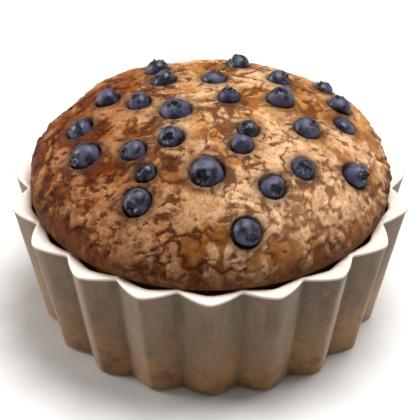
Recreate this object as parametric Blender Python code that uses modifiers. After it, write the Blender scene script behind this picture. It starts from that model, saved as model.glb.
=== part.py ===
"""Blueberry muffin baked in a fluted paper case.

Metres, +Z up, the front of the muffin towards -Y. The origin is the middle of the case's underside.
A bearing is an angle round the muffin: 0 is the front (-Y) and 90 is the right (+X).
A tilt is an angle down the dome: 0 is the top and 90 is the widest part.
"""

import math

import bmesh
import bpy
from mathutils import Vector

# Paper case, measured over the ridges of its flutes.
FLUTES = 18
CASE_HEIGHT = 0.0343
BASE_RADIUS = 0.0415
RIM_RADIUS = 0.0500
LIP_RADIUS = 0.0450
LIP_DROP = 0.0010
PAPER = 0.0010
FOOT_ROUNDING = 0.0012
RIM_ROUNDING = 0.0004

# How much narrower the case is in the valleys between the ridges, as a part of the radius.
BASE_FLUTING = 0.081
RIM_FLUTING = 0.091
LIP_FLUTING = 0.048
FLUTE_SHARPNESS = 1.25
CASE_STEPS = 6 * FLUTES
SHARP_EDGE = math.radians(40)

# Baked cake.
GAP = 0.0003
WALL_INSET = 0.00165
SHOULDER_HEIGHT = 0.0290
NECK_RADIUS = 0.0423
NECK_START = 0.0316
NECK_END = 0.0339
DOME_RADIUS = 0.04485
DOME_RISE = 0.02195
DOME_MIDDLE = 0.0365
DOME_TILTS = (95, 88, 80, 71, 62, 53, 44, 35, 26, 17, 8)
CAKE_STEPS = 4 * FLUTES
SWELL_FADE = 0.005

# Broad swells and dents of the dome: bearing, tilt, height, spread in degrees.
SWELLS = (
    (-103, 80, 0.0008, 12),
    (-122, 67, -0.0010, 10),
    (-142, 60, 0.0006, 14),
    (-175, 52, -0.0005, 18),
    (145, 58, -0.0003, 15),
    (105, 62, 0.0005, 26),
    (10, 48, 0.0003, 18),
    (-60, 64, 0.0004, 16),
)

# How deep a berry sits: the part of its radius by which its middle is below the crust.
PROUD = -0.15
HALF = 0.05
DEEP = 0.25

# Blueberries: bearing and tilt on the dome, diameter in mm, depth, bearing and tilt that the crown points to.
BERRIES = (
    (-150, 36, 6.0, PROUD, 170, 25),
    (-142, 25, 6.5, HALF, -90, 70),
    (-110, 37, 6.0, PROUD, 160, 60),
    (-104, 24, 6.0, HALF, -60, 28),
    (-84, 11, 8.0, DEEP, -15, 22),
    (-90, 46, 7.0, DEEP, -95, 70),
    (-38, 20, 6.5, HALF, -20, 55),
    (-52, 32, 6.5, DEEP, -75, 75),
    (-69, 47, 8.0, DEEP, -75, 80),
    (-35, 38, 5.5, HALF, -50, 45),
    (-31, 51, 7.5, HALF, -22, 80),
    (-2, 32, 9.0, DEEP, -18, 68),
    (176, 19, 6.5, DEEP, 170, 50),
    (165, 37, 6.5, HALF, -125, 45),
    (135, 33, 6.0, HALF, 95, 45),
    (107, 24, 7.0, PROUD, 8, 22),
    (132, 8, 5.5, PROUD, 60, 20),
    (124, 50, 5.0, HALF, 160, 35),
    (108, 49, 6.5, HALF, -150, 15),
    (93, 48, 6.0, DEEP, 120, 50),
    (78, 33, 7.0, HALF, 72, 48),
    (46, 17, 5.5, HALF, -75, 38),
    (27, 22, 6.0, HALF, 180, 70),
    (50, 42, 6.5, DEEP, -5, 38),
    (67, 59, 7.0, PROUD, 48, 78),
    (30, 43, 7.0, DEEP, 18, 66),
    (13, 61, 7.5, HALF, 25, 88),
    (-163, 76, 5.0, DEEP, -150, 60),
    (-149, 86, 6.0, HALF, 170, 70),
    (172, 82, 6.0, HALF, 160, 80),
    (142, 77, 5.5, DEEP, 120, 60),
)
HALF_MM = 0.0005  # radius in metres for each mm of diameter
BERRY_GIRTH_STEPS = 12
BERRY_RINGS = 7
BERRY_FLATTEN = 0.90
CROWN_CUP = 0.30
CROWN_RIM = 0.06
LEVEL_MARGIN = 0.001  # room for rounding when a ring of the ball is picked by its level
SOCKET_GAP = 0.0004


def clear_scene():
    for obj in list(bpy.data.objects):
        bpy.data.objects.remove(obj)


def make_collection(name):
    collection = bpy.data.collections.new(name)
    bpy.context.scene.collection.children.link(collection)
    return collection


def make_material(name, colour, roughness):
    material = bpy.data.materials.new(name)
    material.use_nodes = True
    shader = material.node_tree.nodes["Principled BSDF"]
    shader.inputs["Base Color"].default_value = (*colour, 1.0)
    shader.inputs["Roughness"].default_value = roughness
    shader.inputs["Metallic"].default_value = 0.0
    return material


def make_object(name, bm, collection, material=None):
    bmesh.ops.recalc_face_normals(bm, faces=bm.faces)
    mesh = bpy.data.meshes.new(name)
    bm.to_mesh(mesh)
    bm.free()
    mesh.shade_smooth()
    mesh.set_sharp_from_angle(angle=SHARP_EDGE)
    if material:
        mesh.materials.append(material)
    obj = bpy.data.objects.new(name, mesh)
    collection.objects.link(obj)
    return obj


def direction(bearing, tilt):
    """Unit vector for a bearing and a tilt in degrees."""
    turn, lean = math.radians(bearing), math.radians(tilt)
    return Vector((math.sin(turn) * math.sin(lean), -math.cos(turn) * math.sin(lean), math.cos(lean)))


def flute(bearing):
    """1 on a ridge of the case, 0 in a valley; the sides bow out a little and the valley is sharp."""
    from_ridge = abs((bearing * FLUTES / 360.0 + 0.5) % 1.0 - 0.5) * 2.0
    return 1.0 - from_ridge**FLUTE_SHARPNESS


def ring(radius, height, fluting, steps):
    """Points of one fluted section, from the front towards the right."""
    points = []
    for step in range(steps):
        bearing = 360.0 * step / steps
        reach = radius * (1.0 - fluting * (1.0 - flute(bearing)))
        points.append(direction(bearing, 90) * reach + Vector((0, 0, height)))
    return points


def loft(bm, sections):
    """Joins each section's ring of points to the next one with a band of faces."""
    rings = [[bm.verts.new(point) for point in section] for section in sections]
    for low, high in zip(rings, rings[1:]):
        for i in range(len(low)):
            j = (i + 1) % len(low)
            bm.faces.new((low[i], low[j], high[j], high[i]))
    return rings


def close_with_point(bm, last_ring, point):
    """Fans a ring of vertices to one point."""
    pole = bm.verts.new(point)
    for i in range(len(last_ring)):
        bm.faces.new((last_ring[i], last_ring[(i + 1) % len(last_ring)], pole))


def wall_radius(height):
    """Outer radius of the case over the ridges."""
    return BASE_RADIUS + (RIM_RADIUS - BASE_RADIUS) * height / CASE_HEIGHT


def wall_fluting(height):
    return BASE_FLUTING + (RIM_FLUTING - BASE_FLUTING) * height / CASE_HEIGHT


def make_case(collection, material):
    """Open shell up the wall and in over the lip, thickened inwards to the paper's thickness."""
    foot = wall_radius(FOOT_ROUNDING)
    rows = [
        (foot * 0.5, 0.0, BASE_FLUTING * 0.5),
        (foot - FOOT_ROUNDING, 0.0, BASE_FLUTING),
        (foot - FOOT_ROUNDING * 0.3, FOOT_ROUNDING * 0.3, BASE_FLUTING),
    ]
    rim_start = CASE_HEIGHT - RIM_ROUNDING
    for height in (FOOT_ROUNDING, CASE_HEIGHT * 0.5, rim_start):
        rows.append((wall_radius(height), height, wall_fluting(height)))
    rows.append((RIM_RADIUS - RIM_ROUNDING, CASE_HEIGHT, RIM_FLUTING))
    rows.append((LIP_RADIUS, CASE_HEIGHT - LIP_DROP, LIP_FLUTING))
    bm = bmesh.new()
    rings = loft(bm, [ring(*row, CASE_STEPS) for row in rows])
    close_with_point(bm, rings[0], Vector((0, 0, 0)))
    case = make_object("baking_case", bm, collection, material)
    turn_outwards(case)
    thicken = case.modifiers.new("paper", "SOLIDIFY")
    thicken.thickness = PAPER
    thicken.offset = -1.0
    thicken.use_even_offset = True
    return case


def turn_outwards(obj):
    """Turns an open shell's faces so that its underside, the lowest face, looks down."""
    mesh = obj.data
    lowest = min(mesh.polygons, key=lambda face: face.center.z)
    if lowest.normal.z > 0:
        mesh.flip_normals()


def swell(bearing, tilt, height):
    """Height of the broad swells at a point of the dome; they fade out towards the lip."""
    here = direction(bearing, tilt)
    total = 0.0
    for centre_bearing, centre_tilt, rise, spread in SWELLS:
        away = math.degrees(here.angle(direction(centre_bearing, centre_tilt)))
        total += rise * math.exp(-((away / spread) ** 2))
    fade = (height - NECK_END) / SWELL_FADE
    return total * min(1.0, max(0.0, fade))


def dome_point(bearing, tilt):
    """Point of the dome and the outward direction there."""
    lean = direction(bearing, tilt)
    point = Vector((lean.x * DOME_RADIUS, lean.y * DOME_RADIUS, DOME_MIDDLE + lean.z * DOME_RISE))
    outward = Vector((lean.x / DOME_RADIUS, lean.y / DOME_RADIUS, lean.z / DOME_RISE)).normalized()
    return point + outward * swell(bearing, tilt, point.z), outward


def dome_ring(tilt):
    return [dome_point(360.0 * step / CAKE_STEPS, tilt)[0] for step in range(CAKE_STEPS)]


def make_cake(collection, material, sockets):
    """Fluted body in the case, a neck through the lip and a dome above it, with a socket for each berry."""
    floor = PAPER + GAP
    rows = [
        (BASE_RADIUS * 0.5, floor, BASE_FLUTING * 0.5),
        (wall_radius(floor) - WALL_INSET - FOOT_ROUNDING, floor, BASE_FLUTING),
    ]
    for height in (floor + FOOT_ROUNDING, SHOULDER_HEIGHT * 0.5, SHOULDER_HEIGHT):
        rows.append((wall_radius(height) - WALL_INSET, height, wall_fluting(height)))
    rows.append((NECK_RADIUS, NECK_START, 0.0))
    rows.append((NECK_RADIUS, NECK_END, 0.0))
    sections = [ring(*row, CAKE_STEPS) for row in rows] + [dome_ring(tilt) for tilt in DOME_TILTS]
    bm = bmesh.new()
    rings = loft(bm, sections)
    close_with_point(bm, rings[0], Vector((0, 0, floor)))
    close_with_point(bm, rings[-1], dome_point(0, 0)[0])
    cake = make_object("muffin", bm, collection, material)
    cut = cake.modifiers.new("berry_sockets", "BOOLEAN")
    cut.operation = "DIFFERENCE"
    cut.solver = "EXACT"
    cut.operand_type = "COLLECTION"
    cut.collection = sockets
    return cake


def berry_mesh(radius):
    """Slightly flattened ball with a shallow cup, the crown, at its +Z end."""
    bm = bmesh.new()
    bmesh.ops.create_uvsphere(bm, u_segments=BERRY_GIRTH_STEPS, v_segments=BERRY_RINGS, radius=radius)
    first_ring = math.cos(math.pi / BERRY_RINGS)
    for vert in bm.verts:
        level = vert.co.z / radius
        vert.co.z *= BERRY_FLATTEN
        if level > 1.0 - LEVEL_MARGIN:
            vert.co.z -= CROWN_CUP * radius
        elif level > first_ring - LEVEL_MARGIN:
            vert.co.z += CROWN_RIM * radius
    return bm


def place_berry(obj, berry):
    """Sinks a berry into the dome, turned so that its crown points the way it lies."""
    bearing, tilt, diameter, depth, crown_bearing, crown_tilt = berry
    point, outward = dome_point(bearing, tilt)
    obj.location = point - outward * depth * diameter * HALF_MM
    obj.rotation_mode = "QUATERNION"
    obj.rotation_quaternion = direction(crown_bearing, crown_tilt).to_track_quat("Z", "Y")


def make_berries(collection, sockets, material):
    for number, berry in enumerate(BERRIES, 1):
        radius = berry[2] * HALF_MM
        fruit = make_object(f"blueberry_{number:02d}", berry_mesh(radius), collection, material)
        place_berry(fruit, berry)
        socket = make_object(f"socket_{number:02d}", berry_mesh(radius + SOCKET_GAP), sockets)
        place_berry(socket, berry)
        socket.hide_render = True
        socket.display_type = "WIRE"


def main():
    clear_scene()
    parts = make_collection("blueberry_muffin")
    sockets = make_collection("berry_socket_cutters")
    paper = make_material("baked_paper", (0.62, 0.50, 0.38), 0.55)
    crust = make_material("muffin_crust", (0.58, 0.33, 0.14), 0.75)
    skin = make_material("blueberry_skin", (0.035, 0.038, 0.075), 0.45)
    make_berries(parts, sockets, skin)
    make_case(parts, paper)
    make_cake(parts, crust, sockets)


main()
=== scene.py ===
"""Finished looks of a blueberry muffin: cracked crumb crust, whole berries and a stained fluted paper case.

A bearing is an angle round the muffin: 0 is the front (-Y) and 90 is the right (+X).
A tilt is an angle down the dome: 0 is the top and 90 is the widest part.
"""

import math

import bpy
import numpy as np
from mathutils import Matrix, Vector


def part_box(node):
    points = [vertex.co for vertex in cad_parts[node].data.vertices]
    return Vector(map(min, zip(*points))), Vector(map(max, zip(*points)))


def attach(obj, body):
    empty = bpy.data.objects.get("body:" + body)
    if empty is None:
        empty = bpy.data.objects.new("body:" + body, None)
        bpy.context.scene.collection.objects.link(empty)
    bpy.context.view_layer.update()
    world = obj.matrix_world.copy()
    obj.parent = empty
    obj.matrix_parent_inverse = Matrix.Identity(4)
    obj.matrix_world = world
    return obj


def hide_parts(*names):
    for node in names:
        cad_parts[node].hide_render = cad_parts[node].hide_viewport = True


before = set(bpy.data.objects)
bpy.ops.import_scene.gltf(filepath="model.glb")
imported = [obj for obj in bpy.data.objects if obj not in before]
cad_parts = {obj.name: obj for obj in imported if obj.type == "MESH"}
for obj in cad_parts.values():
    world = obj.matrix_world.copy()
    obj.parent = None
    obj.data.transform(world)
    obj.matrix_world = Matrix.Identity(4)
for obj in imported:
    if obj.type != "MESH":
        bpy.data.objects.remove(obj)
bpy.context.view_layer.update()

MM = 0.001

# Fluted paper case.
FLUTES = 18
CASE_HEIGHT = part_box("baking_case")[1].z
RIM_RADIUS = 50.0 * MM
BASE_RADIUS = 41.5 * MM
LIP_RADIUS = 45.0 * MM
LIP_DROP = 1.0 * MM
PAPER = 1.0 * MM
FOOT_ROUNDING = 1.2 * MM
BEAD_HEIGHT = 0.9 * MM
BEAD_REACH = 0.30 * MM
BASE_FLUTING = 0.081
RIM_FLUTING = 0.091
LIP_FLUTING = 0.048
FLUTE_SHARPNESS = 1.18
RIDGE_SOFTNESS = 0.07
FOLD_SOFTNESS = 0.04
CASE_COLUMNS = 36 * FLUTES
INNER_WALL = 1.25 * PAPER  # from the outer face of the wall to the inner one, measured over a ridge
CASE_SWAY = 0.24 * MM
CASE_DIMPLE = 0.07 * MM
CASE_LIFT = 0.28 * MM

# Baked cake.
GAP = 0.3 * MM
WALL_INSET = 1.65 * MM
SHOULDER_HEIGHT = 29.0 * MM
NECK_RADIUS = 42.3 * MM
NECK_START = 31.6 * MM
NECK_END = 33.9 * MM
DOME_RADIUS = 44.85 * MM
DOME_RISE = 21.95 * MM
DOME_MIDDLE = 36.5 * MM
DOME_LOWEST_TILT = 95.0
CAKE_COLUMNS = 33 * FLUTES
DOME_ROWS = 146
SWELL_FADE = 5.0 * MM
FLECK_LENGTH = (0.6, 1.0, 1.0)
PEBBLE_MM = 5.2
GRAIN_SIZE = 1.4 * MM
LEVEL_RELIEF = 0.25  # relief in mm that counts as level with the dome
LIP_CALM = (35.0 * MM, 39.0 * MM)  # heights between which the relief grows to its full size
SOCKET_RING = 0.30 * MM
BROWNED = (38.0 * MM, 52.0 * MM)  # heights between which the browned streaks fade out
BROWNED_AND_SHADED_FOOT = (34.5 * MM, 45.0 * MM)  # heights between which the darkened foot of the crust fades out: partly browning, partly painted shade down by the lip

# Swells and dents of the dome: bearing, tilt, height, spread in degrees.
SWELLS = (
    (-103, 80, 0.8 * MM, 12),
    (-122, 67, -1.0 * MM, 10),
    (-142, 60, 0.6 * MM, 14),
    (-175, 52, -0.5 * MM, 18),
    (145, 58, -0.3 * MM, 15),
    (105, 62, 0.5 * MM, 26),
    (10, 48, 0.3 * MM, 18),
    (-60, 64, 0.4 * MM, 16),
)

# Where the crust is bare glaze (above 0) or thick crumb (below 0): bearing, tilt, strength, spread.
GLAZED_PATCHES = (
    (-64, 47, 0.80, 9),
    (-40, 46, 0.50, 7),
    (-54, 84, 0.50, 8),
    (25, 76, 0.60, 6),
    (54, 86, 0.50, 8),
    (104, 34, 0.60, 11),
    (-128, 40, 0.45, 13),
    (-90, 76, 0.45, 10),
    (150, 30, 0.35, 11),
    (-58, 64, -0.75, 7),
    (-74, 58, -0.60, 7),
    (-30, 70, -0.60, 9),
    (-45, 30, -0.20, 12),
    (-40, 62, -0.55, 8),
    (-50, 72, -0.60, 8),
    (-22, 64, -0.50, 8),
    (-15, 78, -0.55, 8),
    (38, 60, -1.00, 18),
    (62, 74, -0.70, 12),
    (-5, 18, -0.20, 18),
)

# Where the crust is darker (above 0), partly browner baking and partly painted shade on the left, and where it
# is lighter (below 0), partly lighter crumb and partly painted light on the right: bearing, tilt, strength,
# spread.
BAKED_AND_SHADED_PATCHES = (
    (-55, 62, 0.75, 26),
    (-98, 66, 1.50, 28),
    (-120, 38, 0.85, 24),
    (-48, 84, 1.05, 24),
    (-20, 50, 0.60, 18),
    (-10, 74, 0.50, 18),
    (-45, 34, 0.60, 16),
    (38, 62, -0.90, 22),
    (85, 60, -0.60, 20),
    (95, 86, 0.80, 14),
    (135, 62, 0.45, 22),
)

# Blueberries.
BERRY_FLATTEN = 0.90
BERRY_COLUMNS = 50
BERRY_ROWS = 36
CROWN_ANGLE = 0.44
SOCKET_GAP = 0.25 * MM
BERRY_DENTS = 7
CROWN_POINTS = 5.0
CROWN_LIP_WIDTH = 0.11
WRINKLE_HEIGHT = 0.012

# Studio.
FLOOR_HALF = 4.0
FLOOR_DROP = 0.2 * MM
LAMP_TARGET = (0.0, 0.0, 0.03)
SURROUND_STRENGTH = 0.22


# ---------------------------------------------------------------- node recipes


class Link:
    """One output of a node; arithmetic on it adds Math nodes to the same recipe."""

    def __init__(self, recipe, socket):
        self.recipe = recipe
        self.socket = socket

    def __add__(self, other):
        return self.recipe.math("ADD", self, other)

    __radd__ = __add__

    def __sub__(self, other):
        return self.recipe.math("SUBTRACT", self, other)

    def __rsub__(self, other):
        return self.recipe.math("SUBTRACT", other, self)

    def __mul__(self, other):
        return self.recipe.math("MULTIPLY", self, other)

    def __truediv__(self, other):
        return self.recipe.math("DIVIDE", self, other)


class Recipe:
    """A material's node tree, written as expressions."""

    def __init__(self, name):
        self.material = bpy.data.materials.new(name)
        self.material.use_nodes = True
        self.tree = self.material.node_tree
        self.shader = self.tree.nodes["Principled BSDF"]
        self.place = self.node("ShaderNodeTexCoord", output="Object")

    def connect(self, value, socket):
        if isinstance(value, Link):
            self.tree.links.new(value.socket, socket)
        else:
            socket.default_value = value

    def node(self, kind, settings=None, inputs=None, output=0):
        """Adds a node, sets its settings first and then the values or links of its sockets."""
        node = self.tree.nodes.new(kind)
        for name, value in (settings or {}).items():
            setattr(node, name, value)
        for name, value in (inputs or {}).items():
            self.connect(value, node.inputs[name])
        return Link(self, node.outputs[output])

    def math(self, operation, first, second=0.0):
        return self.node("ShaderNodeMath", {"operation": operation}, {0: first, 1: second})

    def band(self, value, low, high):
        """0 below low, 1 above high and a smooth rise between them."""
        settings = {"interpolation_type": "SMOOTHSTEP"}
        inputs = {"Value": value, "From Min": low, "From Max": high, "To Min": 0.0, "To Max": 1.0}
        return self.node("ShaderNodeMapRange", settings, inputs)

    def mix(self, factor, first, second, blend="MIX"):
        """Colour between the first and the second."""
        settings = {"data_type": "RGBA", "blend_type": blend, "clamp_factor": True}
        return self.node("ShaderNodeMix", settings, {0: factor, 6: first, 7: second}, output=2)

    def stretched(self, scale):
        return self.node("ShaderNodeMapping", {}, {"Vector": self.place, "Scale": scale})

    def noise(self, scale, detail=3.0, roughness=0.55, place=None):
        inputs = {"Vector": place or self.place, "Scale": scale, "Detail": detail, "Roughness": roughness}
        return self.node("ShaderNodeTexNoise", {}, inputs, output="Fac")

    def painted(self, name):
        """A value stored on the mesh."""
        return self.node("ShaderNodeAttribute", {"attribute_name": name}, output="Fac")

    def bump(self, height, strength, distance):
        inputs = {"Height": height, "Strength": strength, "Distance": distance}
        return self.node("ShaderNodeBump", {}, inputs)

    def finish(self, **sockets):
        for name, value in sockets.items():
            self.connect(value, self.shader.inputs[name.replace("_", " ")])
        return self.material


def tone(red, green, blue):
    """Linear colour from screen values of 0 to 255."""
    channels = [value / 255.0 for value in (red, green, blue)]
    linear = [c / 12.92 if c <= 0.04045 else ((c + 0.055) / 1.055) ** 2.4 for c in channels]
    return (*linear, 1.0)


# ---------------------------------------------------------------- shared shape maths


def smooth_rise(value, low, high):
    """0 below low, 1 above high and a smooth cubic between them."""
    t = np.clip((value - low) / (high - low), 0.0, 1.0)
    return t * t * (3.0 - 2.0 * t)


def unit_directions(bearing, tilt):
    """Unit vectors for arrays of bearings and tilts in degrees, last axis x, y, z."""
    turn, lean = np.radians(bearing), np.radians(tilt)
    across, upward = np.sin(lean), np.cos(lean) + 0 * turn
    return np.stack([np.sin(turn) * across, -np.cos(turn) * across, upward], -1)


def scatter(cells, seed):
    """Repeatable random numbers from 0 to 1 for whole-numbered lattice cells, by mixing their bits."""
    whole = cells.astype(np.int64)
    mixed = whole[..., 0] * 73856093 ^ whole[..., 1] * 19349663 ^ whole[..., 2] * 83492791
    mixed = (mixed ^ seed * 974711) & 0xFFFFFFFF
    mixed = ((mixed ^ (mixed >> 15)) * 2246822519) & 0xFFFFFFFF
    mixed = ((mixed ^ (mixed >> 13)) * 3266489917) & 0xFFFFFFFF
    return ((mixed ^ (mixed >> 16)) & 0xFFFFFF) / float(0xFFFFFF)


def rolling(points, size, seed):
    """Gradient noise from about -1 to 1 whose bumps are about size across."""
    place = points / size
    corner = np.floor(place)
    inside = place - corner
    blend = inside**3 * (inside * (inside * 6.0 - 15.0) + 10.0)
    total = np.zeros(points.shape[:-1])
    for offset in np.ndindex(2, 2, 2):
        cell = corner + offset
        slope = np.stack([scatter(cell, seed + part) for part in (0, 101, 202)], -1) * 2.0 - 1.0
        weight = np.prod(np.where(offset, blend, 1.0 - blend), axis=-1)
        total += weight * np.sum(slope * (inside - offset), axis=-1)
    return total * 1.4


def rumpled(points, size, seed, octaves=3):
    """Gradient noise at several sizes, each half the size and half the height of the one before."""
    return sum(rolling(points, size / 2**n, seed + 17 * n) * 0.5**n for n in range(octaves))


def pebbles(points, size, seed):
    """Distances to the nearest and second nearest of scattered seeds, and the nearest one's random lot.

    The distances are counted in seed spacings.
    """
    place = points / size
    corner = np.floor(place)
    nearest = np.full(points.shape[:-1], 9.0)
    second = nearest.copy()
    lot = np.zeros(points.shape[:-1])
    for offset in np.ndindex(3, 3, 3):
        cell = corner + offset - 1.0
        seed_point = cell + np.stack([scatter(cell, seed + part) for part in (0, 101, 202)], -1)
        away = np.linalg.norm(place - seed_point, axis=-1)
        closer = away < nearest
        second = np.where(closer, nearest, np.minimum(second, away))
        lot = np.where(closer, scatter(cell, seed + 303), lot)
        nearest = np.where(closer, away, nearest)
    return nearest, second, lot


def wrapped_piece(name, rings, first, last):
    """Mesh object of rings joined in bands and closed with a point at each end.

    Rings run from the first point to the last, each from the front to the right, so faces point outwards.
    """
    rows, columns = rings.shape[:2]
    points = np.concatenate([rings.reshape(-1, 3), [first], [last]])
    here = np.arange(rows * columns).reshape(rows, columns)
    beside = np.roll(here, -1, axis=1)
    bands = np.stack([here[:-1], beside[:-1], beside[1:], here[1:]], -1).reshape(-1, 4)
    start = np.stack([beside[0], here[0], np.full(columns, rows * columns)], -1)
    end = np.stack([here[-1], beside[-1], np.full(columns, rows * columns + 1)], -1)
    mesh = bpy.data.meshes.new(name)
    mesh.from_pydata(points.tolist(), [], bands.tolist() + start.tolist() + end.tolist())
    mesh.shade_smooth()
    piece = bpy.data.objects.new(name, mesh)
    bpy.context.scene.collection.objects.link(piece)
    return piece


def paint(piece, name, values, ends=(0.0, 0.0)):
    """Stores one value for each ring point and each end point on the mesh."""
    layer = piece.data.attributes.new(name, "FLOAT", "POINT")
    layer.data.foreach_set("value", np.concatenate([values.ravel(), ends]).astype(np.float32))


# ---------------------------------------------------------------- berries as the frame holds them


def read_berries():
    """Centre, radius and crown direction of each berry node.

    The crown's cup is the point of the ball nearest to its centre.
    """
    berries = {}
    for name in sorted(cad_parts):
        if not name.startswith("blueberry_"):
            continue
        low, high = (np.array(corner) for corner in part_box(name))
        centre = (low + high) / 2.0
        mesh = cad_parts[name].data
        points = np.empty(len(mesh.vertices) * 3)
        mesh.vertices.foreach_get("co", points)
        arms = points.reshape(-1, 3) - centre
        reach = np.linalg.norm(arms, axis=1)
        cup = arms[np.argmin(reach)]
        berries[name] = (centre, reach.max(), cup / np.linalg.norm(cup))
    return berries


BERRIES = read_berries()


# ---------------------------------------------------------------- cake


def case_fluting(height):
    return BASE_FLUTING + (RIM_FLUTING - BASE_FLUTING) * height / CASE_HEIGHT


def case_radius(height):
    return BASE_RADIUS + (RIM_RADIUS - BASE_RADIUS) * height / CASE_HEIGHT


def softened(value, softness):
    """Keeps 0 and 1 in place and rounds off the corner at 0."""
    return (np.sqrt(value**2 + softness**2) - softness) / (math.sqrt(1.0 + softness**2) - softness)


def flute(bearing):
    """1 on a ridge and 0 in a valley, from the distance to the ridge with both folds rounded off."""
    from_ridge = np.abs((bearing * FLUTES / 360.0 + 0.5) % 1.0 - 0.5) * 2.0
    return softened(1.0 - softened(from_ridge, RIDGE_SOFTNESS) ** FLUTE_SHARPNESS, FOLD_SOFTNESS)


def fluted_ring(radius, height, fluting, bearings):
    """Ring whose radius falls by the fluting in the valleys."""
    reach = radius * (1.0 - fluting * (1.0 - flute(bearings)))
    return unit_directions(bearings, 90.0) * reach[:, None] + np.array([0, 0, height])


def even_tilts():
    """Tilts of the dome's rows, from the lip up, spaced evenly along the ellipse's arc."""
    fine = np.linspace(DOME_LOWEST_TILT, 0.0, 2000)
    across = DOME_RADIUS * np.sin(np.radians(fine))
    up = DOME_RISE * np.cos(np.radians(fine))
    walked = np.concatenate([[0.0], np.cumsum(np.hypot(np.diff(across), np.diff(up)))])
    return np.interp(np.linspace(0.0, walked[-1], DOME_ROWS + 1)[:-1], walked, fine)


def bells(directions, table):
    """Sum of bell shapes on the dome, each given by bearing, tilt, height and spread in degrees."""
    total = np.zeros(directions.shape[:-1])
    for bearing, tilt, height, spread in table:
        middle = unit_directions(np.array(float(bearing)), float(tilt))
        away = np.degrees(np.arccos(np.clip(directions @ middle, -1.0, 1.0)))
        total += height * np.exp(-((away / spread) ** 2))
    return total


def crumb_relief(points, lean):
    """Relief of the crust and the maps that colour it.

    Crumb lies where broad noise plus cell-shaped clusters rise above the glazed patches. Thin cracks follow
    cell edges and the zero line of smooth noise. Flecks and grains are small noise. Heights are metres along
    the dome's outward direction.
    """
    drift = np.stack([rumpled(points, 8.0 * MM, seed, 3) for seed in (11, 12, 13)], -1)
    ragged = np.stack([rumpled(points, 1.8 * MM, seed, 3) for seed in (21, 22, 23)], -1)
    warped = points + drift * 2.6 * MM
    low = smooth_rise(1.0 - lean[..., 2], 0.25, 0.75)
    near, second, lot = pebbles(warped + ragged * 0.7 * MM, PEBBLE_MM * MM, 5)
    cluster = np.clip(1.0 - (near / 0.75) ** 2, 0.0, 1.0)
    edge = (second - near) * PEBBLE_MM
    spread = 0.85 * rumpled(warped, 13.0 * MM, 31, 3)
    spread += 0.6 * rumpled(warped + ragged * 0.4 * MM, 4.0 * MM, 35, 3)
    spread += 0.22 * (1.0 - low) + low * (1.3 * cluster - 0.62 + 0.5 * (lot - 0.5))
    spread -= bells(lean, GLAZED_PATCHES)
    crumb = smooth_rise(spread, -0.30, 0.50)
    open_here = smooth_rise(rumpled(points, 11.0 * MM, 43, 2), -0.25, 0.30)
    crack = (1.0 - smooth_rise(edge + 0.15 * ragged[..., 0], 0.0, 0.55)) * (0.25 + 0.75 * open_here)
    seam = np.abs(rumpled(warped + ragged * 0.5 * MM, 9.0 * MM, 41, 3))
    vein_here = smooth_rise(rumpled(points, 14.0 * MM, 47, 2), -0.25, 0.15)
    vein = (1.0 - smooth_rise(seam, 0.02, 0.15)) * vein_here
    fleck = smooth_rise(rumpled((points + drift * 1.5 * MM) * FLECK_LENGTH, 1.7 * MM, 61, 3), 0.10, 0.45)
    fleck *= 0.35 + 0.65 * smooth_rise(rumpled(points, 7.0 * MM, 45, 2), -0.3, 0.2)
    grain_near, _, grain_lot = pebbles(points + ragged * 0.6 * MM, GRAIN_SIZE, 7)
    grain_and_highlight = np.clip(1.0 - (grain_near / 0.7) ** 2, 0.0, 1.0) * grain_lot
    height = crumb * (0.28 + 0.42 * low * cluster) + 0.22 * grain_and_highlight * (0.15 + 0.85 * crumb)
    height += 0.45 * rumpled(points, 9.0 * MM, 51, 3) + 0.14 * ragged[..., 2]
    height -= 0.35 * crack + 0.30 * vein + 0.22 * fleck * crumb
    glow = (1.0 - smooth_rise(edge, 0.2, 1.6)) * open_here
    glow += (1.0 - smooth_rise(seam, 0.05, 0.45)) * vein_here
    dark = 0.8 * crack + 0.9 * vein + 0.85 * fleck * (0.4 + 0.6 * crumb)
    dark = np.clip(np.maximum(dark, 0.42 * glow), 0.0, 1.0)
    return (height - LEVEL_RELIEF) * MM, crumb, dark, grain_and_highlight


def sink_sockets(points, outward, relief):
    """Lets the crust down round the underside of each berry, with a low ring of risen crust at its edge.

    Under a berry the height along the dome's outward direction is that of the lower half of a ball.
    """
    juice_and_shade = np.zeros(points.shape[:-1])
    for centre, radius, _ in BERRIES.values():
        arm = points - centre
        along = np.sum(arm * outward, axis=-1)
        aside = np.linalg.norm(arm - along[..., None] * outward, axis=-1)
        close = np.abs(along) < 2.0 * radius
        room = radius + SOCKET_GAP
        cup = -np.sqrt(np.clip(room**2 - aside**2, 0.0, None)) - along
        calm = smooth_rise(aside, room * 0.95, room * 1.75)
        ring = SOCKET_RING * np.exp(-(((aside - room * 1.12) / (0.22 * room)) ** 2))
        level = relief * calm + ring
        inside = close & (aside**2 + np.clip(along, 0.0, None) ** 2 < room**2)
        relief = np.where(close, level, relief)
        relief = np.where(inside, np.minimum(level, cup), relief)
        # Dark halo round each berry: partly a stain from the berries, partly painted contact shade.
        stain = np.exp(-((np.clip(aside - room, 0.0, None) / (0.42 * room)) ** 2))
        juice_and_shade = np.where(close, np.maximum(juice_and_shade, stain), juice_and_shade)
    return relief, juice_and_shade


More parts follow.
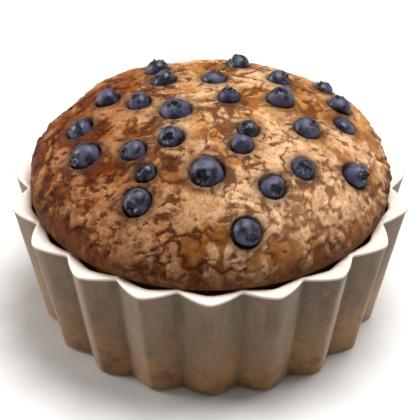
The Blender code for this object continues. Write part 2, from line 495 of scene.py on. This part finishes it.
def make_cake():
    """Body in the case, neck through the lip and crumb-covered dome, as rings from the underside up."""
    bearings = np.arange(CAKE_COLUMNS) * 360.0 / CAKE_COLUMNS
    floor = PAPER + GAP
    rows = [
        (BASE_RADIUS * 0.5, floor, BASE_FLUTING * 0.5),
        (case_radius(floor) - WALL_INSET - FOOT_ROUNDING, floor, BASE_FLUTING),
    ]
    for height in np.linspace(floor + FOOT_ROUNDING, SHOULDER_HEIGHT, 6):
        rows.append((case_radius(height) - WALL_INSET, height, case_fluting(height)))
    rows.append((NECK_RADIUS, NECK_START, 0.0))
    rows.append((NECK_RADIUS, NECK_END, 0.0))
    body = np.stack([fluted_ring(*row, bearings) for row in rows])
    tilts = even_tilts()[:, None]
    lean = unit_directions(bearings[None, :] + 0 * tilts, tilts + 0 * bearings[None, :])
    size = np.array([DOME_RADIUS, DOME_RADIUS, DOME_RISE])
    smooth = lean * size + np.array([0, 0, DOME_MIDDLE])
    outward = lean / size
    outward /= np.linalg.norm(outward, axis=-1, keepdims=True)
    fade = np.clip((smooth[..., 2] - NECK_END) / SWELL_FADE, 0.0, 1.0)
    smooth += outward * (bells(lean, SWELLS) * fade)[..., None]
    relief, crumb, dark, grain_and_highlight = crumb_relief(smooth, lean)
    # Darker and lighter patches: partly browner baking and partly painted shade on the left, painted light on
    # the right.
    baked_and_shaded = bells(lean, BAKED_AND_SHADED_PATCHES) + 0.25 * rumpled(smooth, 12.0 * MM, 91, 2)
    lip_calm = smooth_rise(smooth[..., 2], *LIP_CALM)
    relief = np.where(relief > 0, relief * lip_calm, relief * np.sqrt(lip_calm))
    relief, juice_and_shade = sink_sockets(smooth, outward, relief)
    dome = smooth + outward * relief[..., None]
    rings = np.concatenate([body, dome])
    top = dome[-1].mean(axis=0)
    cake = wrapped_piece("crust", rings, (0, 0, floor), top)
    blank = np.zeros((len(rows), CAKE_COLUMNS))
    maps = {"crumb": crumb, "dark": dark, "grain_and_highlight": grain_and_highlight, "juice_and_shade": juice_and_shade}
    maps |= {"baked_and_shaded": np.clip(baked_and_shaded, 0.0, 1.0), "paler_and_lit": np.clip(-baked_and_shaded, 0.0, 1.0)}
    for name, values in maps.items():
        paint(cake, name, np.concatenate([blank, values]), (0.0, values[-1].mean()))
    return cake


# ---------------------------------------------------------------- berries


def turned_to(direction):
    """Rotation matrix whose third column is the direction; the other two are square to it."""
    helper = np.array([0.0, 0.0, 1.0]) if abs(direction[2]) < 0.9 else np.array([1.0, 0.0, 0.0])
    side = np.cross(helper, direction)
    side /= np.linalg.norm(side)
    return np.stack([side, np.cross(direction, side), direction], axis=1)


def make_berry(name, centre, radius, crown, number):
    """Flattened ball with a five-pointed crown round a cup, a few soft dents and fine wrinkles.

    The ball is (sin p cos a, sin p sin a, 0.9 cos p) for polar angle p and turn a. Inside the crown angle
    the surface dips into a cup, and at the crown angle it rises in five points.
    """
    pick = np.random.default_rng(400 + number)
    turns = np.arange(BERRY_COLUMNS) * 2.0 * np.pi / BERRY_COLUMNS
    spread = np.linspace(1.0, 0.0, BERRY_ROWS + 1)[:-1]
    polar = (np.pi * (0.62 * spread + 0.38 * spread**2))[:, None] - 0.04 * (spread == 1.0)[:, None]
    wide = np.sin(polar)
    ball = np.stack([wide * np.cos(turns), wide * np.sin(turns), np.cos(polar) + 0 * turns], -1)
    swell = np.ones(ball.shape[:-1])
    for _ in range(BERRY_DENTS):
        middle = pick.normal(size=3)
        middle /= np.linalg.norm(middle)
        depth, focus = pick.uniform(0.04, 0.13), pick.uniform(3.0, 7.0)
        swell -= depth * np.exp(focus * (ball @ middle - 1.0))
    wrinkle = rumpled(ball + pick.uniform(-50, 50, 3), 0.45, 60, 3)
    swell += WRINKLE_HEIGHT * wrinkle
    star = (0.5 + 0.5 * np.cos(CROWN_POINTS * turns + pick.uniform(0, 6.28) + 0.35 * np.sin(3.0 * turns))) ** 1.4
    uneven = 1.0 + 0.10 * np.cos(CROWN_POINTS * turns) + 0.16 * np.cos(2.0 * turns + pick.uniform(0, 6.28))
    brim = CROWN_ANGLE * uneven
    into_cup = np.clip(polar / brim, 0.0, 1.0)
    cup = pick.uniform(0.20, 0.32) * (1.0 - into_cup**2.2)
    lip = np.exp(-(((polar - brim) / CROWN_LIP_WIDTH) ** 2)) * (0.02 + 0.12 * star)
    shape = ball * np.array([1.0, 1.0, BERRY_FLATTEN]) * swell[..., None]
    shape[..., 2] += lip * 0.9 - cup
    shape[..., :2] *= (1.0 + 0.5 * lip)[..., None]
    placed = (shape * radius) @ turned_to(crown).T + centre
    first = placed[0].mean(axis=0)
    last = placed[-1].mean(axis=0)
    berry = wrapped_piece(name, placed, first, last)
    paint(berry, "crown", smooth_rise(1.15 - polar / brim, 0.10, 0.45), (0.0, 1.0))
    return berry


# ---------------------------------------------------------------- paper case


def case_profile():
    """Rows of the case, from underneath round to inside.

    Each is the radius over the ridges, the height, the fluting and the paleness.
    """
    rows = []
    foot = case_radius(FOOT_ROUNDING)
    for part in (0.2, 0.6, 0.9):
        rows.append(((foot - FOOT_ROUNDING) * part, 0.0, BASE_FLUTING * part, 0.0))
    for angle in np.linspace(0.0, 90.0, 6):
        bend = math.radians(angle)
        radius = foot - FOOT_ROUNDING * (1.0 - math.sin(bend))
        rows.append((radius, FOOT_ROUNDING * (1.0 - math.cos(bend)), BASE_FLUTING, 0.0))
    wall_top = CASE_HEIGHT - BEAD_HEIGHT - 0.25 * MM
    for height in np.linspace(FOOT_ROUNDING, wall_top, 34)[1:]:
        rows.append((case_radius(height), height, case_fluting(height), 0.0))
    for angle in np.linspace(-80.0, 90.0, 9):
        bend = math.radians(angle)
        half = BEAD_HEIGHT / 2.0
        radius = case_radius(CASE_HEIGHT - half) - half + BEAD_REACH + half * math.cos(bend)
        paleness = 0.5 + 0.5 * math.sin(bend)
        rows.append((radius, CASE_HEIGHT - half + half * math.sin(bend), RIM_FLUTING, paleness))
    outer = case_radius(CASE_HEIGHT) - BEAD_HEIGHT / 2.0
    for part in np.linspace(0.12, 0.96, 8):
        radius = outer + (LIP_RADIUS - outer) * part
        fluting = RIM_FLUTING + (LIP_FLUTING - RIM_FLUTING) * part
        rows.append((radius, CASE_HEIGHT - LIP_DROP * part**1.4, fluting, 1.0))
    for angle in np.linspace(60.0, -90.0, 6):
        bend = math.radians(angle)
        half = PAPER / 2.0
        height = CASE_HEIGHT - LIP_DROP - half + half * math.sin(bend)
        rows.append((LIP_RADIUS + half * (1.0 - math.cos(bend)), height, LIP_FLUTING, 1.0))
    inner_top = CASE_HEIGHT - LIP_DROP - PAPER
    for part in (0.4, 0.9):
        radius = LIP_RADIUS + (case_radius(inner_top) - INNER_WALL - LIP_RADIUS) * part
        fluting = LIP_FLUTING + (RIM_FLUTING - LIP_FLUTING) * part
        rows.append((radius, inner_top + 0.3 * MM * part, fluting, 1.0))
    for height in np.linspace(inner_top - 0.4 * MM, PAPER * 1.8, 12):
        rows.append((case_radius(height) - INNER_WALL, height, case_fluting(height), 1.0))
    for part in (0.97, 0.6, 0.2):
        rows.append(((case_radius(PAPER) - INNER_WALL) * part, PAPER, BASE_FLUTING * part, 1.0))
    return rows


def make_case():
    """Thick paper shell; each flute leans, bulges and rises a little differently from the next.

    A ring is radius times (1 - fluting (1 - flute)), plus smooth noise that grows with height.
    """
    bearings = np.arange(CASE_COLUMNS) * 360.0 / CASE_COLUMNS
    rows = case_profile()
    rings = np.stack([fluted_ring(*row[:3], bearings) for row in rows])
    height = rings[..., 2] / CASE_HEIGHT
    around = unit_directions(bearings, 90.0)
    sway = rolling(around[None] * 0.06 + rings * np.array([0, 0, 0.35]), 11.0 * MM, 71)
    dimple = rumpled(rings, 7.0 * MM, 72, 2)
    push = CASE_SWAY * sway * height + CASE_DIMPLE * dimple
    rings[..., :2] += around[None, :, :2] * push[..., None]
    lift = rolling(around[None] * 0.05 + 0 * rings, 12.0 * MM, 73)
    rings[..., 2] += CASE_LIFT * lift * smooth_rise(height, 0.3, 1.0)
    case = wrapped_piece("paper_case", rings, (0, 0, 0), (0, 0, PAPER))
    paleness = np.array([row[3] for row in rows])[:, None] + 0 * bearings
    fold = flute(bearings)[None, :] + 0 * paleness
    paint(case, "pale", paleness, (0.0, 1.0))
    paint(case, "fold", fold, (0.5, 0.5))
    return case


# ---------------------------------------------------------------- finishes


def crust_finish():
    """Pale crumb over caramel glaze, dark in the cracks, with painted highlights on lump tops and specks; the
    foot by the lip and a halo round each berry are darker, partly browning and berry stain and partly painted
    shade; the left is darker and the right lighter, partly from baking and partly painted shade and light.
    """
    r = Recipe("baked_crust")
    crumb, dark, grain_and_highlight, juice_and_shade = (r.painted(name) for name in ("crumb", "dark", "grain_and_highlight", "juice_and_shade"))
    baked_and_shaded, paler_and_lit = r.painted("baked_and_shaded"), r.painted("paler_and_lit")
    height = r.node("ShaderNodeSeparateXYZ", {}, {"Vector": r.place}, output="Z")
    blotch = r.noise(90.0, 4.0, 0.6)
    patch = r.noise(260.0, 5.0, 0.62)
    marble = r.noise(360.0, 5.0, 0.65, r.stretched((0.75, 1.0, 1.0)))
    fleck = r.noise(750.0, 5.0, 0.68)
    glint_speck = r.noise(1900.0, 3.0, 0.6)
    streak = r.noise(420.0, 4.0, 0.6, r.stretched((1.0, 1.0, 0.30)))
    glaze = r.mix(r.band(blotch, 0.40, 0.60), tone(160, 100, 42), tone(204, 148, 84))
    glaze = r.mix(r.band(patch, 0.44, 0.66) * 0.7, glaze, tone(112, 60, 20))
    pale = r.mix(r.band(patch, 0.36, 0.64), tone(226, 182, 138), tone(196, 144, 98))
    pale = r.mix(r.band(marble, 0.46, 0.72) * 0.5, pale, tone(150, 98, 54))
    # Lighter lump tops: partly pale crumb, partly painted highlight.
    pale = r.mix(grain_and_highlight * 0.75, pale, tone(238, 206, 166))
    pale = r.mix(r.band(fleck, 0.52, 0.64) * 0.6, pale, tone(146, 94, 56))
    # Near-white specks: painted glints on the crumb.
    pale = r.mix(r.band(glint_speck, 0.57, 0.68) * 0.65, pale, tone(244, 218, 188))
    cover = r.band(crumb + (fleck - 0.5) * 1.3 + (patch - 0.5) * 0.9, 0.05, 0.95)
    colour = r.mix(cover, glaze, pale)
    depth = r.band(dark + (fleck - 0.5) * 0.7, 0.10, 0.85)
    colour = r.mix(depth * 0.88, colour, tone(96, 48, 16))
    edge = 1.0 - r.band(height, *BROWNED)
    colour = r.mix(r.band(streak, 0.44, 0.62) * edge * 0.75, colour, tone(80, 40, 18))
    # Darker patches: partly browner baking and partly painted shade on the left of the dome.
    colour = r.mix(baked_and_shaded * (1.0 - cover * 0.25), colour, r.mix(1.0, colour, tone(168, 126, 84), "MULTIPLY"))
    # Lighter patches: partly lighter crumb and partly painted light on the right of the dome.
    colour = r.mix(paler_and_lit * 0.9, colour, r.mix(1.0, colour, tone(104, 76, 56), "SCREEN"))
    # Darker foot of the crust: partly browning, partly painted shade in the gap under the lip.
    low = 1.0 - r.band(height + (patch - 0.5) * 0.014, *BROWNED_AND_SHADED_FOOT)
    colour = r.mix(low * 0.88, colour, tone(84, 46, 22))
    # Dark halo round the berries: partly a stain from the berries, partly painted contact shade.
    colour = r.mix(juice_and_shade * 0.62, colour, tone(66, 50, 42))
    roughness = 0.48 + cover * 0.32
    bumps = r.bump(fleck + glint_speck * 0.5 - depth * 0.3, 0.7, 0.0004)
    return r.finish(Base_Color=colour, Roughness=roughness, Normal=bumps, Specular_IOR_Level=0.06)


def berry_finish():
    """Dark slate-blue skin under a dull waxy bloom, nearly black inside the crown."""
    r = Recipe("bloomed_berry_skin")
    crown = r.painted("crown")
    cloud = r.noise(300.0, 2.0, 0.5)
    dust = r.noise(1500.0, 3.0, 0.6)
    skin = r.mix(r.band(cloud, 0.40, 0.60), tone(13, 13, 24), tone(70, 70, 97))
    skin = r.mix(r.band(dust, 0.46, 0.66) * 0.30, skin, tone(88, 88, 118))
    colour = r.mix(crown * 0.75, skin, tone(18, 17, 26))
    roughness = 0.36 + r.band(cloud, 0.35, 0.65) * 0.2
    skin_grain = r.bump(dust, 0.2, 0.0002)
    return r.finish(Base_Color=colour, Roughness=roughness, Normal=skin_grain, Specular_IOR_Level=0.5)


def paper_finish():
    """Cream paper, nearly white on the lip, darker outside (partly toasting, partly painted shade) with painted
    shade in the flute valleys, and streaked with butter from the foot.
    """
    r = Recipe("buttered_baking_paper")
    pale, fold = r.painted("pale"), r.painted("fold")
    height = r.node("ShaderNodeSeparateXYZ", {}, {"Vector": r.place}, output="Z")
    streak = r.noise(170.0, 4.0, 0.6, r.stretched((1.0, 1.0, 0.22)))
    mottle = r.noise(260.0, 4.0, 0.6)
    fibre = r.noise(1500.0, 3.0, 0.6, r.stretched((1.0, 1.0, 0.5)))
    # Darker outside paper: partly toasting, partly painted shade on the walls.
    toast_and_shade = r.mix(r.band(streak, 0.35, 0.65), tone(110, 89, 66), tone(76, 58, 42))
    rise = 1.0 - height / CASE_HEIGHT
    stain = r.band(rise + (streak - 0.5) * 1.9 + (mottle - 0.5) * 1.0, 0.34, 0.95)
    toast_and_shade = r.mix(stain * 0.9, toast_and_shade, tone(152, 106, 54))
    toast_and_shade = r.mix(stain * r.band(mottle, 0.44, 0.62) * 0.7, toast_and_shade, tone(84, 54, 28))
    # Painted shade in the flute valleys.
    toast_and_shade = r.mix((1.0 - r.band(fold, 0.0, 0.35)) * 0.30, toast_and_shade, tone(64, 50, 36))
    toast_and_shade = r.mix(r.band(fibre, 0.45, 0.7) * 0.2, toast_and_shade, tone(140, 120, 94))
    cream = r.mix(r.band(mottle, 0.4, 0.7) * 0.5, tone(250, 238, 228), tone(238, 218, 202))
    colour = r.mix(pale, toast_and_shade, cream)
    roughness = 0.62 - stain * 0.15
    weave = r.bump(fibre + mottle * 0.6, 0.35, 0.00018)
    return r.finish(Base_Color=colour, Roughness=roughness, Normal=weave, Specular_IOR_Level=0.4,
                    Sheen_Weight=0.5, Sheen_Roughness=0.45, Sheen_Tint=tone(250, 235, 215))


def floor_finish():
    r = Recipe("plain_pale_floor")
    return r.finish(Base_Color=(0.86, 0.86, 0.86, 1.0), Roughness=0.9, Specular_IOR_Level=0.1)


# ---------------------------------------------------------------- studio


def make_floor():
    half = FLOOR_HALF
    corners = [(-half, -half, 0), (half, -half, 0), (half, half, 0), (-half, half, 0)]
    mesh = bpy.data.meshes.new("floor")
    mesh.from_pydata(corners, [], [(0, 1, 2, 3)])
    floor = bpy.data.objects.new("floor", mesh)
    floor.location.z = -FLOOR_DROP
    bpy.context.scene.collection.objects.link(floor)
    mesh.materials.append(floor_finish())


def aim(thing, place, target):
    """Puts a lamp or camera at a place, looking at the target."""
    thing.location = place
    way = np.array(target) - np.array(place)
    flat = math.hypot(way[0], way[1])
    thing.rotation_euler = (math.atan2(flat, -way[2]), 0.0, math.atan2(-way[0], way[1]))
    bpy.context.scene.collection.objects.link(thing)


def make_lamp(name, place, size, power, colour=(1.0, 1.0, 1.0)):
    lamp = bpy.data.lights.new(name, "AREA")
    lamp.shape = "DISK"
    lamp.size = size
    lamp.energy = power
    lamp.color = colour
    aim(bpy.data.objects.new(name, lamp), place, LAMP_TARGET)


def make_studio():
    """Large soft light above and behind, softer ones on both sides and a weak pale surround."""
    make_lamp("overhead", (0.20, 0.14, 1.0), 0.7, 13.5, (1.0, 0.985, 0.96))
    make_lamp("right_side", (0.95, 0.45, 0.36), 0.45, 1.2, (1.0, 0.97, 0.93))
    make_lamp("left_side", (-0.95, 0.20, 0.30), 0.45, 6.5, (1.0, 0.97, 0.94))
    world = bpy.data.worlds.new("pale_surround")
    world.use_nodes = True
    surround = world.node_tree.nodes["Background"]
    surround.inputs["Color"].default_value = (1.0, 1.0, 1.0, 1.0)
    surround.inputs["Strength"].default_value = SURROUND_STRENGTH
    bpy.context.scene.world = world
    bpy.context.scene.view_settings.view_transform = "Standard"


def make_camera():
    """Long lens from the front, looking down at the dome."""
    elevation = math.radians(34.6)
    distance = 1.0275
    target = (0.0, 0.0, 0.0274)
    lens = bpy.data.cameras.new("camera")
    lens.sensor_width = 36.0
    lens.lens = 350.2
    lens.clip_start = 0.05
    lens.clip_end = 20.0
    camera = bpy.data.objects.new("camera", lens)
    place = (0.0, -distance * math.cos(elevation), target[2] + distance * math.sin(elevation))
    aim(camera, place, target)
    bpy.context.scene.camera = camera


def dress(piece, material, node):
    """Finishes a piece and lets it stand for its node in the frame."""
    piece.data.materials.append(material)
    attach(piece, "root")
    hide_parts(node)


def main():
    make_camera()
    dress(make_cake(), crust_finish(), "muffin")
    dress(make_case(), paper_finish(), "baking_case")
    skin = berry_finish()
    for number, (name, (centre, radius, crown)) in enumerate(BERRIES.items()):
        berry = make_berry(name.replace("blueberry", "berry"), centre, radius, crown, number)
        dress(berry, skin, name)
    make_floor()
    make_studio()


main()
